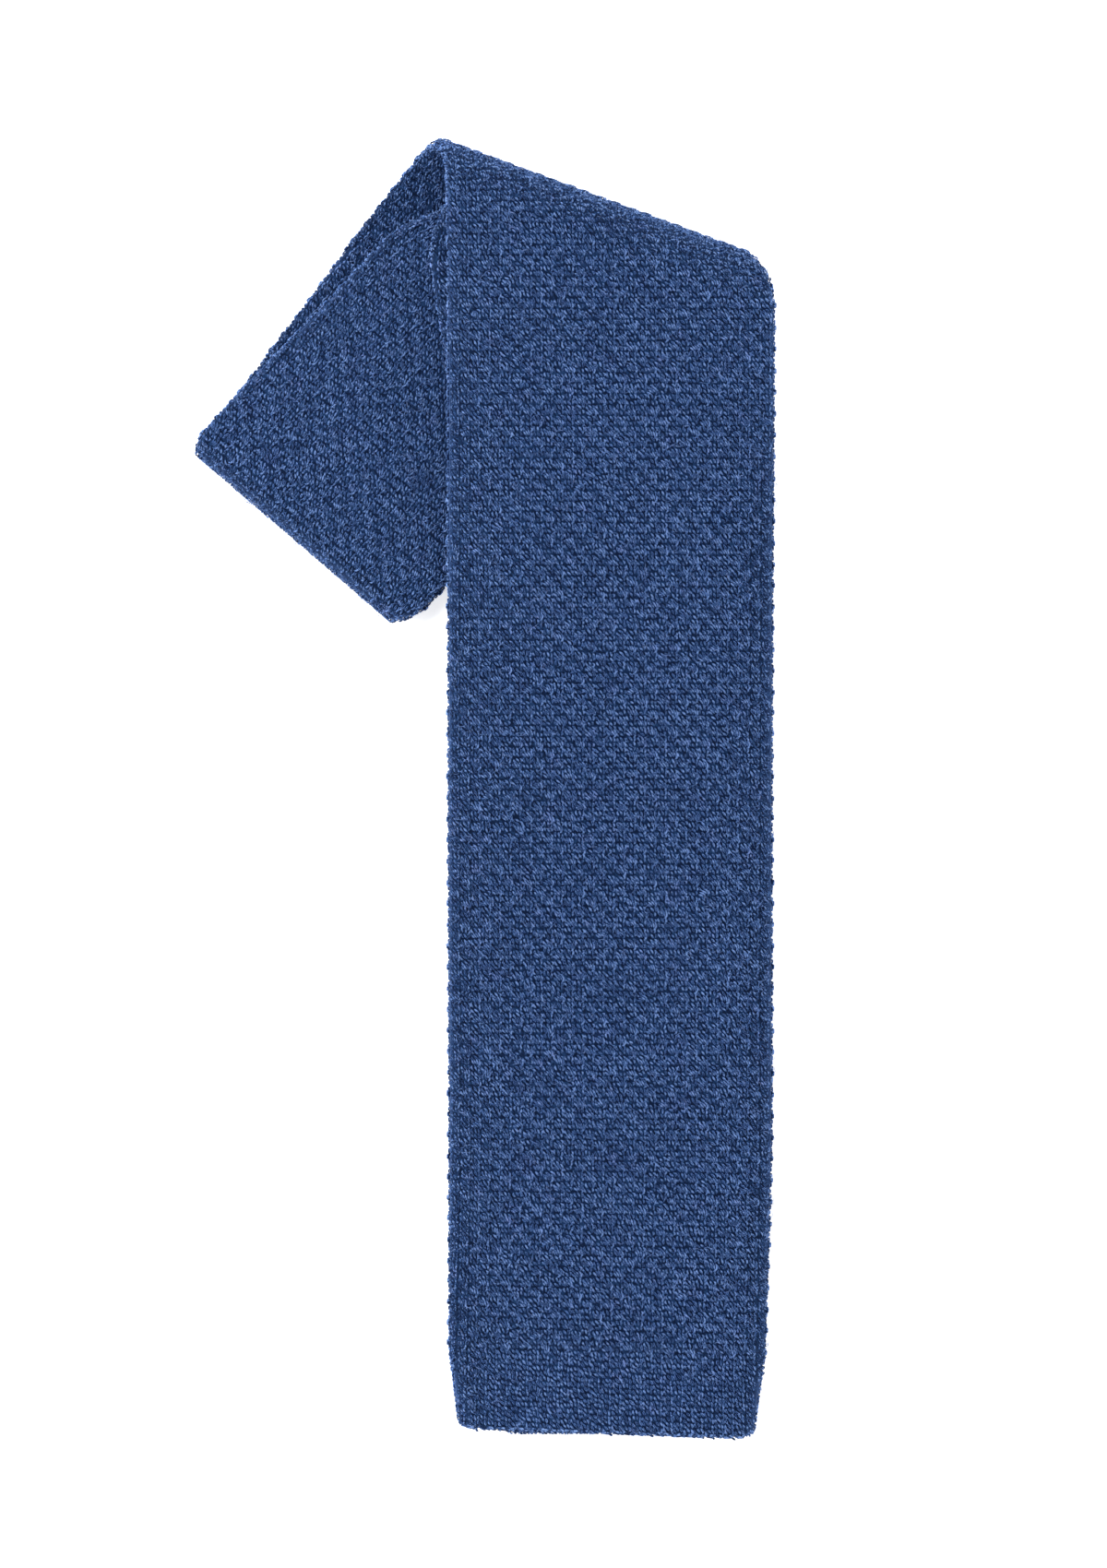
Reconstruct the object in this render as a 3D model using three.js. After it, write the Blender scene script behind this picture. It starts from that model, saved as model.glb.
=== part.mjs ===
// Knitted necktie, folded in four and then folded over at a slant, lying on a flat surface.
// Millimetres, +Z up, +Y towards the slanted fold, +X to the right of the blade.
// The tie is one long flat tube. Its middle surface has two measures, along from the blade's tip
// and across from the middle line, and it is wrapped round each fold without being stretched.
import * as THREE from "three";

// The tie as it was knitted
const tieLength = 1314;
const bladeWidth = 65;
const neckWidth = 31;
const tailWidth = 42;
const bladeHem = 17;
const tailHem = 14;
const tubeThickness = 2.1;
const wallThickness = 0.9;
const sideWall = 1.6;
const tipNarrowing = 0.06;
const tipCorner = 1.8;
const tipSlant = 0.036;

// The folded tie
const foldedLength = 248;
const flapLength = 92.8;
const foldSlant = THREE.MathUtils.degToRad(20.3);
const gap = 0.4;
const neckShowing = 0.5;
const innerSetback = 3;

// How the upper layers hang over the lower ones
const slopeStart = 6;
const slopeLength = 78;
const bladeSag = 3;
const bladeSagStart = 23.5;
const flapSag = 2.4;
const flapSagStart = 19;
const sagOnset = 45;
const tipSag = 2;

// Fineness of the faces
const foldSteps = 8;
const passStep = 11.5;
const acrossStops = [-1, -0.8, -0.45, 0, 0.45, 0.8, 1];
const cornerStops = [0.15, 0.5, 1];
const skewReach = 80;

// Widths along the tie. along is a share of its length, width a share of the size in "of", and
// shift is how far the middle line lies to one side, as a share of the blade's width.
const sections = [
  { along: 0, width: 0.974, of: bladeWidth, shift: -0.013 },
  { along: 0.05, width: 1, of: bladeWidth, shift: 0 },
  { along: 0.18, width: 1, of: bladeWidth, shift: 0 },
  { along: 0.205, width: 0.992, of: bladeWidth, shift: -0.014 },
  { along: 0.262, width: 0.875, of: bladeWidth, shift: -0.0175 },
  { along: 0.32, width: 0.78, of: bladeWidth, shift: -0.02 },
  { along: 0.38, width: 1.26, of: neckWidth, shift: 0.05 },
  { along: 0.46, width: 1.05, of: neckWidth, shift: 0.085 },
  { along: 0.54, width: 1, of: neckWidth, shift: 0.085 },
  { along: 0.7, width: 1.06, of: neckWidth, shift: 0.06 },
  { along: 0.82, width: 0.92, of: tailWidth, shift: 0.05 },
  { along: 1, width: 1, of: tailWidth, shift: 0.083 },
];

// Passes of the tie from fold to fold, and the place of each in its stack, counted in layers.
// The setback is how far inside the others the fold at the end of the pass lies.
// The long stack runs down the length of the folded tie, and lies on the flap where they cross.
const flapLayers = 4;
const passes = [
  { long: true, layer: 3, sag: bladeSag, sagStart: bladeSagStart, setback: 0 },
  { long: false, layer: 0, sag: 0, sagStart: 0, setback: 0 },
  { long: false, layer: 3, sag: flapSag, sagStart: flapSagStart, setback: innerSetback },
  { long: true, layer: 0, sag: 0, sagStart: 0, setback: 0 },
  { long: true, layer: 1, sag: 0, sagStart: 0, setback: 0 },
  { long: false, layer: 2, sag: 0, sagStart: 0, setback: 0 },
  { long: false, layer: 1, sag: 0, sagStart: 0, setback: 0 },
  { long: true, layer: 2, sag: 0, sagStart: 0, setback: 0 },
];

// Ends of folds where the cloth is drawn in: the fold's number, the side of the tie, how far, and
// over what length and width of the cloth, all as shares of the blade's width
const corners = [
  { fold: 0, side: 1, pull: 0.052, length: 0.108, breadth: 0.17 },
  { fold: 1, side: 1, pull: 0.049, length: 0.07, breadth: 0.123 },
  { fold: 1, side: -1, pull: 0.022, length: 0.046, breadth: 0.077 },
  { fold: 2, side: -1, pull: 0.07, length: 0.11, breadth: 0.17 },
];

const layerPitch = tubeThickness + gap;
const heightOf = (layer) => layer * layerPitch + tubeThickness / 2;
const ramp = (x) => THREE.MathUtils.smoothstep(x, 0, 1);

// Directions in plan that point squarely out of the slanted fold, the flap's end and the neck's fold
const outOfSlant = new THREE.Vector2(Math.sin(foldSlant), Math.cos(foldSlant));
const outOfFlap = new THREE.Vector2(-Math.sin(2 * foldSlant), -Math.cos(2 * foldSlant));
const outOfNeck = new THREE.Vector2(0, -1);

// How far out each fold's outermost face reaches, and how many layers from its middle that face is
const foldPoint = new THREE.Vector2(0, foldedLength);
const slantFold = { out: outOfSlant, reach: foldPoint.dot(outOfSlant), halfLayers: 3.5 };
const flapFold = { out: outOfFlap, reach: foldPoint.dot(outOfFlap) + flapLength, halfLayers: 1.5 };
const neckFold = { out: outOfNeck, reach: neckShowing, halfLayers: 0.5 };

// Each fold turns one pass into the next about a level axis
const folds = passes.slice(1).map((after, i) => {
  const before = passes[i];
  const kind = before.long !== after.long ? slantFold : before.long ? neckFold : flapFold;
  const level = (pass) => heightOf(pass.layer + (kind === slantFold && pass.long ? flapLayers : 0));
  return {
    out: kind.out,
    axis: kind.reach - kind.halfLayers * layerPitch - tubeThickness / 2 - before.setback,
    radius: Math.abs(level(after) - level(before)) / 2,
    height: (level(after) + level(before)) / 2,
    turn: Math.sign(level(before) - level(after)),
    skewed: kind === slantFold,
  };
});

// Follows a flat point round the folds before it, to the pass or fold that it lies on
function unroll(along, across) {
  const point = new THREE.Vector2(across, along);
  for (let i = 0; i < folds.length; i += 1) {
    const { out, axis, radius } = folds[i];
    const past = point.dot(out) - axis;
    const arc = Math.PI * radius;
    if (past <= 0) return { pass: i, toFold: -past, point };
    if (past < arc) return { fold: i, angle: past / radius, point: point.addScaledVector(out, -past) };
    point.addScaledVector(out, arc - 2 * past);
  }
  return { pass: folds.length, toFold: Infinity, point };
}

// Where the middle line comes to each fold and leaves it, as measures along the tie
const foldPlaces = [];
for (const fold of folds) {
  const start = foldPlaces.length ? foldPlaces.at(-1).end : 0;
  const here = unroll(start + 0.001, 0).point;
  const ahead = unroll(start + 1.001, 0).point.sub(here);
  const slope = ahead.dot(fold.out);
  const reached = start + (fold.axis - here.dot(fold.out)) / slope;
  foldPlaces.push({ start: reached, end: reached + (Math.PI * fold.radius) / slope });
}

// A slanted fold crosses the tie aslant, one way on the way up and the other way on the way back.
// The skew is how far along such a line moves for each millimetre across.
const foldSkew = (fold) => (folds[fold].skewed ? (passes[fold].long ? -1 : 1) * Math.tan(foldSlant) : 0);

// Lines across the tie run parallel to a slanted fold near it, a little aslant at the blade's tip,
// whose right-hand corner lies lower, and square to the tie elsewhere.
function skewAt(along) {
  let skew = -tipSlant * (1 - Math.min(along / skewReach, 1));
  foldPlaces.forEach(({ start, end }, i) => {
    const away = Math.max(start - along, along - end, 0);
    skew += foldSkew(i) * (1 - Math.min(away / skewReach, 1));
  });
  return skew;
}

function sectionAt(along) {
  const share = THREE.MathUtils.clamp(along / tieLength, 0, 1);
  const next = Math.max(sections.findIndex((row) => row.along >= share), 1);
  const a = sections[next - 1];
  const b = sections[next];
  const t = ramp((share - a.along) / (b.along - a.along));
  const narrowing = tipNarrowing * (1 - Math.min(along / bladeHem, 1));
  const fromEnd = Math.max(Math.min(along, tieLength - along), 0);
  const corner = tipCorner - Math.sqrt(tipCorner ** 2 - Math.max(tipCorner - fromEnd, 0) ** 2);
  return {
    width: THREE.MathUtils.lerp(a.width * a.of, b.width * b.of, t) * (1 - narrowing) - 2 * corner,
    shift: THREE.MathUtils.lerp(a.shift, b.shift, t) * bladeWidth,
  };
}

// A point of the flat tie: the line across at "along", a side measure from the middle of the tie's
// width there, and a depth through its thickness, positive towards its face
function flatPoint(along, side) {
  const { shift, width } = sectionAt(along);
  const flat = along + skewAt(along) * (shift + side);
  let across = shift + side;
  for (const { fold, side: which, pull, length, breadth } of corners) {
    const middle = (foldPlaces[fold].start + foldPlaces[fold].end) / 2 + foldSkew(fold) * (shift + side);
    const nearness = Math.exp(-(((flat - middle) / (length * bladeWidth)) ** 2));
    const nearEdge = ramp((which * side - width / 2) / (breadth * bladeWidth) + 1);
    across -= which * pull * bladeWidth * nearness * nearEdge;
  }
  return { along: flat, across };
}

// The right-hand border of the flap, past which the long stack comes down to the surface
const flapRight = (along) => {
  const { along: a, across: c } = flatPoint(along, sectionAt(along).width / 2);
  return unroll(a, c).point;
};
const borderStart = flapRight(foldPlaces[0].end + 1);
const borderEnd = flapRight(foldPlaces[1].start - 1);
const border = borderEnd.clone().sub(borderStart).normalize();
function heightUnderStack(point) {
  const from = point.clone().sub(borderStart);
  const past = border.x * from.y - border.y * from.x;
  return flapLayers * layerPitch * (1 - ramp((past - slopeStart) / slopeLength));
}

// The blade's tip hangs down past the end of the tail, which stops short of it
const tailSetback = Math.max(unroll(tieLength, 0).point.y, gap);

// The place in space of a point of the tie
function place(along, side, depth) {
  const flat = flatPoint(along, side);
  const { pass, fold, angle, toFold, point } = unroll(flat.along, flat.across);
  if (fold !== undefined) {
    const { radius, height, turn, out } = folds[fold];
    const face = fold % 2 === 0 ? 1 : -1;
    const reach = radius + face * turn * depth;
    point.addScaledVector(out, reach * Math.sin(angle));
    return new THREE.Vector3(point.x, point.y, height + turn * reach * Math.cos(angle));
  }
  const { long, layer, sag, sagStart } = passes[pass];
  const face = pass % 2 === 0 ? 1 : -1;
  const fromFold = Math.min(toFold, pass ? along - foldPlaces[pass - 1].end : Infinity);
  const half = sectionAt(along).width / 2;
  const overhang = Math.max((Math.abs(side) - sagStart) / (half - sagStart), 0);
  const drop = sag ? sag * overhang ** 2 * ramp(fromFold / sagOnset) : 0;
  const tipDrop = pass ? 0 : tipSag * ramp(tailSetback / bladeHem) * (1 - ramp(along / tailSetback));
  const base = long ? heightUnderStack(point) : 0;
  return new THREE.Vector3(point.x, point.y, base + heightOf(layer) + face * depth - drop - tipDrop);
}

// Lines across the whole tie, closer together round the folds
const lines = [];
let passStart = 0;
for (const { start, end } of [...foldPlaces, { start: tieLength, end: tieLength }]) {
  const steps = Math.max(Math.ceil((start - passStart) / passStep), 1);
  for (let i = 0; i < steps; i += 1) lines.push(passStart + ((start - passStart) * i) / steps);
  for (let i = 0; i < foldSteps && end > start; i += 1) lines.push(start + ((end - start) * i) / foldSteps);
  passStart = end;
}
for (const share of cornerStops) lines.push(share * tipCorner, tieLength - share * tipCorner);
lines.sort((a, b) => a - b);

// One loop round the tube's section: over the face, round the edge, back, and round the other edge
function ringOf(along, halfWidth, halfDepth, edgeOut) {
  const over = acrossStops.map((stop) => [stop * (halfWidth - edgeOut), halfDepth]);
  const under = [...acrossStops].reverse().map((stop) => [stop * (halfWidth - edgeOut), -halfDepth]);
  const loop = [...over, [halfWidth, 0], ...under, [-halfWidth, 0]];
  return loop.map(([side, depth]) => place(along, side, depth));
}

// A length of the flat tube, hollow and open at both ends
function makeTube(name, from, to, material) {
  const margin = gap / 2;
  const inside = lines.filter((along) => along > from + margin && along < to - margin);
  const stations = [from, ...inside, to];
  const count = acrossStops.length * 2 + 2;
  const positions = [];
  for (const along of stations) {
    const half = sectionAt(along).width / 2;
    const outer = ringOf(along, half, tubeThickness / 2, tubeThickness / 2);
    const inner = ringOf(along, half - sideWall, tubeThickness / 2 - wallThickness, 0.2);
    for (const { x, y, z } of [...outer, ...inner]) positions.push(x, y, z);
  }
  const index = [];
  const quad = (a, b, c, d) => index.push(a, b, c, a, c, d);
  const at = (station, point, layer) => station * count * 2 + layer * count + (point % count);
  const last = stations.length - 1;
  for (let p = 0; p < count; p += 1) {
    for (let s = 0; s < last; s += 1) {
      quad(at(s, p, 0), at(s, p + 1, 0), at(s + 1, p + 1, 0), at(s + 1, p, 0));
      quad(at(s, p + 1, 1), at(s, p, 1), at(s + 1, p, 1), at(s + 1, p + 1, 1));
    }
    quad(at(0, p + 1, 0), at(0, p, 0), at(0, p, 1), at(0, p + 1, 1));
    quad(at(last, p, 0), at(last, p + 1, 0), at(last, p + 1, 1), at(last, p, 1));
  }
  const geometry = new THREE.BufferGeometry();
  geometry.setAttribute("position", new THREE.Float32BufferAttribute(positions, 3));
  geometry.setIndex(index);
  geometry.computeVertexNormals();
  const mesh = new THREE.Mesh(geometry, material);
  mesh.name = name;
  return mesh;
}

const knit = (color) => new THREE.MeshStandardMaterial({ color, roughness: 0.95, metalness: 0 });

// Where one length of the tie is joined to the next, both out of sight under the blade
const bladeEnd = foldPlaces[2].end + 25;
const neckEnd = foldPlaces[4].start - 25;
const tie = new THREE.Group();
tie.add(
  makeTube("blade_hem", 0, bladeHem, knit(0x324a74)),
  makeTube("blade", bladeHem + gap, bladeEnd, knit(0x344b75)),
  makeTube("neckband", bladeEnd + gap, neckEnd, knit(0x344b75)),
  makeTube("tail", neckEnd + gap, tieLength - tailHem - gap, knit(0x344b75)),
  makeTube("tail_hem", tieLength - tailHem, tieLength, knit(0x324a74)),
);

// The origin is under the middle of the folded tie, on the surface
const box = new THREE.Box3().setFromObject(tie);
tie.position.set(-(box.min.x + box.max.x) / 2, -(box.min.y + box.max.y) / 2, -box.min.z);

export default tie;
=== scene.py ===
"""A knitted wool necktie, folded in four and turned over at a slant, seen from straight above.

Metres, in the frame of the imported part. The fabric is wrapped round the same folds as the solids
are, and its stitches are small lengths of yarn set on it by Geometry Nodes.
"""
import math
import bpy
import numpy as np
from mathutils import Matrix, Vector
from mathutils.bvhtree import BVHTree


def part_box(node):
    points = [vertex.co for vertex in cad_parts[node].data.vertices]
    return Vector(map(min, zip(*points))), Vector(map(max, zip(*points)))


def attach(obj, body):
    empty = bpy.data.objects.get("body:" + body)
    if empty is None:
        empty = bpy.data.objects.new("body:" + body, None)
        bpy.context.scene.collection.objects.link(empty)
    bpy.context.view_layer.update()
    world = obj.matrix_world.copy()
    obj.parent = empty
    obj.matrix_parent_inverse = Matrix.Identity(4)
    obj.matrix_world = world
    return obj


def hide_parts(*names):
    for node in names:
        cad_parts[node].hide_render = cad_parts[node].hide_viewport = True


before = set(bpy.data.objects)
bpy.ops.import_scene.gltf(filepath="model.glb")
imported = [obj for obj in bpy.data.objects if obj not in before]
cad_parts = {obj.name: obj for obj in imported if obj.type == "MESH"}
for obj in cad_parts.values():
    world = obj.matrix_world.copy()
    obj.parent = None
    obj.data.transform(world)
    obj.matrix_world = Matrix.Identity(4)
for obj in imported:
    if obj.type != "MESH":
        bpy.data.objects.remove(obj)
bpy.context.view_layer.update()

MM = 0.001

# The tie as it was knitted
TIE_LENGTH = 1314 * MM
BLADE_WIDTH = 65 * MM
NECK_WIDTH = 31 * MM
TAIL_WIDTH = 42 * MM
BLADE_HEM = 17 * MM
TAIL_HEM = 14 * MM
THICKNESS = 2.1 * MM
WALL = 0.9 * MM
SIDE_WALL = 1.6 * MM
TIP_NARROWING = 0.06
TIP_CORNER = 1.8 * MM
TIP_SLANT = 0.036
SLANT_REACH = 80 * MM

# The folded tie
FOLDED_LENGTH = 248 * MM
FLAP_LENGTH = 92.8 * MM
FOLD_SLANT = math.radians(20.3)
GAP = 0.4 * MM
NECK_SHOWING = 0.5 * MM
INNER_SETBACK = 3 * MM
SLOPE_START = 6 * MM
SLOPE_LENGTH = 78 * MM
BLADE_SAG = 3 * MM
BLADE_SAG_START = 23.5 * MM
FLAP_SAG = 2.4 * MM
FLAP_SAG_START = 19 * MM
SAG_ONSET = 45 * MM
TIP_SAG = 2 * MM
FLAP_LAYERS = 4

# Share of the tie's length, width, and how far the middle line lies to one side
SECTIONS = [
    (0, 0.974 * BLADE_WIDTH, -0.013 * BLADE_WIDTH),
    (0.05, BLADE_WIDTH, 0),
    (0.18, BLADE_WIDTH, 0),
    (0.205, 0.992 * BLADE_WIDTH, -0.014 * BLADE_WIDTH),
    (0.262, 0.875 * BLADE_WIDTH, -0.0175 * BLADE_WIDTH),
    (0.32, 0.78 * BLADE_WIDTH, -0.02 * BLADE_WIDTH),
    (0.38, 1.26 * NECK_WIDTH, 0.05 * BLADE_WIDTH),
    (0.46, 1.05 * NECK_WIDTH, 0.085 * BLADE_WIDTH),
    (0.54, NECK_WIDTH, 0.085 * BLADE_WIDTH),
    (0.7, 1.06 * NECK_WIDTH, 0.06 * BLADE_WIDTH),
    (0.82, 0.92 * TAIL_WIDTH, 0.05 * BLADE_WIDTH),
    (1, TAIL_WIDTH, 0.083 * BLADE_WIDTH),
]

# Passes from fold to fold: whether in the long stack, the layer in the stack, the edges' sag and
# where it starts, and how far inside the others the fold at the pass's end lies
PASSES = [
    (True, 3, BLADE_SAG, BLADE_SAG_START, 0),
    (False, 0, 0, 0, 0),
    (False, 3, FLAP_SAG, FLAP_SAG_START, INNER_SETBACK),
    (True, 0, 0, 0, 0),
    (True, 1, 0, 0, 0),
    (False, 2, 0, 0, 0),
    (False, 1, 0, 0, 0),
    (True, 2, 0, 0, 0),
]

# The knit: a tuck stitch that repeats over four rows, shifted by two rows in every second column
COLUMN = 2.08 * MM
ROW = 1.0675 * MM
REPEAT = 4

PITCH = THICKNESS + GAP

# How thick the tie's rounded ends are at their very edge, as a share of its thickness
END_SHARE = 0.3
END_STOPS = np.array([0.04, 0.15, 0.35, 0.65, 1.05]) * MM

# A length short enough to start just past a fold
NUDGE = 1e-6

# How the first three folds slant across the tie
FOLD_SLOPES = (math.tan(FOLD_SLANT), 0, -math.tan(FOLD_SLANT))

# Ends of folds where the cloth is drawn in: the fold's number, the side of the tie, how far, and
# over what length and width of the cloth
CORNERS = [
    (0, 1, 0.052 * BLADE_WIDTH, 0.108 * BLADE_WIDTH, 0.17 * BLADE_WIDTH),
    (1, 1, 0.049 * BLADE_WIDTH, 0.07 * BLADE_WIDTH, 0.123 * BLADE_WIDTH),
    (1, -1, 0.022 * BLADE_WIDTH, 0.046 * BLADE_WIDTH, 0.077 * BLADE_WIDTH),
    (2, -1, 0.07 * BLADE_WIDTH, 0.11 * BLADE_WIDTH, 0.17 * BLADE_WIDTH),
]


def height_of(layer):
    return layer * PITCH + THICKNESS / 2


def ramp(x):
    x = np.clip(x, 0, 1)
    return x * x * (3 - 2 * x)


def fold_table():
    """Each fold: the plan direction out of it, its axis, radius, height and which way it turns."""
    out_of_slant = np.array([math.sin(FOLD_SLANT), math.cos(FOLD_SLANT)])
    out_of_flap = np.array([-math.sin(2 * FOLD_SLANT), -math.cos(2 * FOLD_SLANT)])
    out_of_neck = np.array([0.0, -1.0])
    fold_point = np.array([0.0, FOLDED_LENGTH])
    slant = (out_of_slant, fold_point @ out_of_slant, 3.5)
    flap = (out_of_flap, fold_point @ out_of_flap + FLAP_LENGTH, 1.5)
    neck = (out_of_neck, NECK_SHOWING, 0.5)
    table = []
    for before, after in zip(PASSES, PASSES[1:]):
        slanted = before[0] != after[0]
        out, reach, half_layers = slant if slanted else neck if before[0] else flap
        levels = [height_of(p[1] + (FLAP_LAYERS if slanted and p[0] else 0)) for p in (before, after)]
        table.append({
            "out": out,
            "axis": reach - half_layers * PITCH - THICKNESS / 2 - before[4],
            "radius": abs(levels[1] - levels[0]) / 2,
            "height": sum(levels) / 2,
            "turn": 1.0 if levels[0] > levels[1] else -1.0,
        })
    return table


FOLDS = fold_table()


def unroll(along, across):
    """Follows flat points round the folds: pass number, fold number or -1, angle, distance, plan."""
    point = np.stack([across, along], axis=-1).astype(float)
    number = np.full(along.shape, len(FOLDS))
    fold_of = np.full(along.shape, -1)
    angle = np.zeros(along.shape)
    to_fold = np.full(along.shape, np.inf)
    moving = np.ones(along.shape, bool)
    for i, fold in enumerate(FOLDS):
        past = point @ fold["out"] - fold["axis"]
        arc = math.pi * fold["radius"]
        before = moving & (past <= 0)
        on = moving & (past > 0) & (past < arc)
        number[before | on] = i
        fold_of[on] = i
        to_fold[before] = -past[before]
        angle[on] = past[on] / fold["radius"]
        moving &= past >= arc
        point[on] -= past[on, None] * fold["out"]
        point[moving] += (arc - 2 * past[moving])[:, None] * fold["out"]
    return number, fold_of, angle, to_fold, point


def fold_places():
    """Where the middle line comes to each fold and leaves it, measured along the tie."""
    places = []
    start = 0.0
    for fold in FOLDS:
        step = 1 * MM
        samples = np.array([start + NUDGE, start + NUDGE + step])
        here, ahead = unroll(samples, np.zeros(2))[4]
        slope = (ahead - here) @ fold["out"] / step
        reached = start + (fold["axis"] - here @ fold["out"]) / slope
        start = reached + math.pi * fold["radius"] / slope
        places.append((reached, start))
    return places


PLACES = fold_places()


def width_and_shift(along):
    share = np.clip(along / TIE_LENGTH, 0, 1)
    rows = np.array(SECTIONS, float)
    upper = np.clip(np.searchsorted(rows[:, 0], share, side="left"), 1, len(rows) - 1)
    a, b = rows[upper - 1], rows[upper]
    t = ramp((share - a[..., 0]) / (b[..., 0] - a[..., 0]))
    narrowing = TIP_NARROWING * (1 - np.clip(along / BLADE_HEM, 0, 1))
    from_end = np.maximum(np.minimum(along, TIE_LENGTH - along), 0)
    corner = TIP_CORNER - np.sqrt(TIP_CORNER**2 - np.maximum(TIP_CORNER - from_end, 0) ** 2)
    width = (a[..., 1] + (b[..., 1] - a[..., 1]) * t) * (1 - narrowing) - 2 * corner
    return width, a[..., 2] + (b[..., 2] - a[..., 2]) * t


def flap_border():
    """Two plan points on the flap's right-hand border."""
    along = np.array([PLACES[0][1] + 1 * MM, PLACES[1][0] - 1 * MM])
    width, shift = width_and_shift(along)
    return unroll(along, shift + width / 2)[4]


BORDER = flap_border()
TAIL_SETBACK = max(unroll(np.array([TIE_LENGTH]), np.zeros(1))[4][0, 1], GAP)


def drawn_in(along, side):
    """The side measure, less what the ends of the folds are drawn in by."""
    width, shift = width_and_shift(along)
    result = side
    for number, sign, pull, length, breadth in CORNERS:
        apex = sum(PLACES[number]) / 2 - FOLD_SLOPES[number] * (shift + side)
        nearness = np.exp(-(((along - apex) / length) ** 2))
        result = result - sign * pull * nearness * ramp((sign * side - width / 2 + breadth) / breadth)
    return result


def height_under_stack(point):
    direction = (BORDER[1] - BORDER[0]) / np.linalg.norm(BORDER[1] - BORDER[0])
    start = point - BORDER[0]
    past = direction[0] * start[..., 1] - direction[1] * start[..., 0]
    return FLAP_LAYERS * PITCH * (1 - ramp((past - SLOPE_START) / SLOPE_LENGTH))


def place(along, side, depth):
    """Places in space of points of the tie: side from its middle, depth positive to its face."""
    along, side, depth = np.broadcast_arrays(along, side, depth)
    width, shift = width_and_shift(along)
    side = drawn_in(along, side)
    slant = -TIP_SLANT * (1 - np.clip(along / SLANT_REACH, 0, 1))
    number, fold_of, angle, to_fold, point = unroll(along + slant * (shift + side), shift + side)
    face = np.where(number % 2 == 0, 1.0, -1.0)
    result = np.zeros(along.shape + (3,))
    table = np.array(PASSES, float)[np.minimum(number, len(PASSES) - 1)]
    since_fold = along - np.array([0.0] + [end for _, end in PLACES])[number]
    from_fold = np.minimum(to_fold, np.where(number == 0, np.inf, since_fold))
    overhang = np.maximum((np.abs(side) - table[..., 3]) / (width / 2 - table[..., 3]), 0)
    drop = table[..., 2] * overhang**2 * ramp(from_fold / SAG_ONSET)
    tip_drop = TIP_SAG * ramp(TAIL_SETBACK / BLADE_HEM) * (1 - ramp(along / TAIL_SETBACK))
    drop = drop + np.where(number == 0, tip_drop, 0)
    base = np.where(table[..., 0] > 0, height_under_stack(point), 0)
    result[..., :2] = point
    result[..., 2] = base + table[..., 1] * PITCH + THICKNESS / 2 + face * depth - drop
    for i, fold in enumerate(FOLDS):
        on = fold_of == i
        reach = fold["radius"] + face[on] * fold["turn"] * depth[on]
        result[on, :2] = point[on] + (reach * np.sin(angle[on]))[:, None] * fold["out"]
        result[on, 2] = fold["height"] + fold["turn"] * reach * np.cos(angle[on])
    return result


def half_thickness(along):
    """Half the tube's thickness, which rounds off at the two ends of the tie."""
    from_end = np.clip(np.minimum(along, TIE_LENGTH - along), 0, THICKNESS / 2)
    rounding = np.sqrt(1 - (1 - from_end / (THICKNESS / 2)) ** 2)
    return THICKNESS / 2 * (END_SHARE + (1 - END_SHARE) * rounding)


def around(along, q, lift=0.0):
    """Places on the tube's outside: q runs round it from the face's middle, lift stands off it."""
    along, q, lift = np.broadcast_arrays(along, q, lift)
    half = width_and_shift(along)[0] / 2
    radius = half_thickness(along)
    flat = half - radius
    size = np.abs(q)
    sign = np.sign(q)
    turn = np.clip((size - flat) / radius, 0, math.pi)
    past = np.maximum(size - flat - math.pi * radius, 0)
    side = np.minimum(size, flat) + (radius + lift) * np.sin(turn) - past
    depth = (radius + lift) * np.cos(turn)
    return place(along, sign * side, depth)


def make_object(name, points, faces, uv=None):
    """A mesh object from arrays of points and faces, with an optional UV map given per corner."""
    mesh = bpy.data.meshes.new(name)
    mesh.from_pydata([tuple(p) for p in points], [], [tuple(f) for f in faces])
    if uv is not None:
        layer = mesh.uv_layers.new(name="yarn")
        layer.data.foreach_set("uv", np.asarray(uv, np.float32).ravel())
    mesh.polygons.foreach_set("use_smooth", [True] * len(mesh.polygons))
    mesh.update()
    obj = bpy.data.objects.new(name, mesh)
    bpy.context.scene.collection.objects.link(obj)
    return obj


# Size of the wool's markings, as noise scales in each metre
FIBRE_SCALE = 3200
HAIR_SCALE = 2800
HAIR_SLANT = -math.pi / 4
HAIR_STRETCH = (1.5, 0.8, 1)
PATCH_SCALE = 120
VIOLET_SCALE = 260
VIOLET = (1.25, 0.8, 0.95, 1)
VIOLET_RANGE = (0.55, 0.75)
VIOLET_SHARE = 0.35

# The wool's tone is a sum of its markings, each with its weight. On yarn it has three more terms:
# the leg's own tone, the fibres twisted round it, and how far it stands off the wall; this last is
# painted shade, darker where the yarn lies low between the stitches. The ranges are the sums that
# give the deepest and the lightest colour.
FINE_WEIGHT = 1.0
HAIR_WEIGHT = 0.8
PATCH_WEIGHT = 0.1
LEG_WEIGHT = 0.25
TWIST_WEIGHT = 0.6
LOW_YARN_SHADE_WEIGHT = 0.22
YARN_RANGE = (1.23, 1.65)
CLOTH_RANGE = (0.74, 1.24)

# The twist along a leg of yarn, and steps that set the markings of one leg apart from another's
TWIST_STRETCH = (1.8, 1.8, 1)
TWIST_TURN = 0.35
TWIST_SCALE = 1.5
TONE_STEP = 53.0
TWIST_STEP = 9.0

# How the wool takes the light
WOOL_ROUGHNESS = 0.95
WOOL_GLOSS = 0.1
SHEEN = 0.8
SHEEN_ROUGHNESS = 0.4
SHEEN_TINT = (0.22, 0.42, 1.0, 1)
RELIEF_DEPTH = 0.15 * MM

# Where the tie presses on the surface, its relief is half as deep
PRESSED = 0.6 * MM

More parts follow.
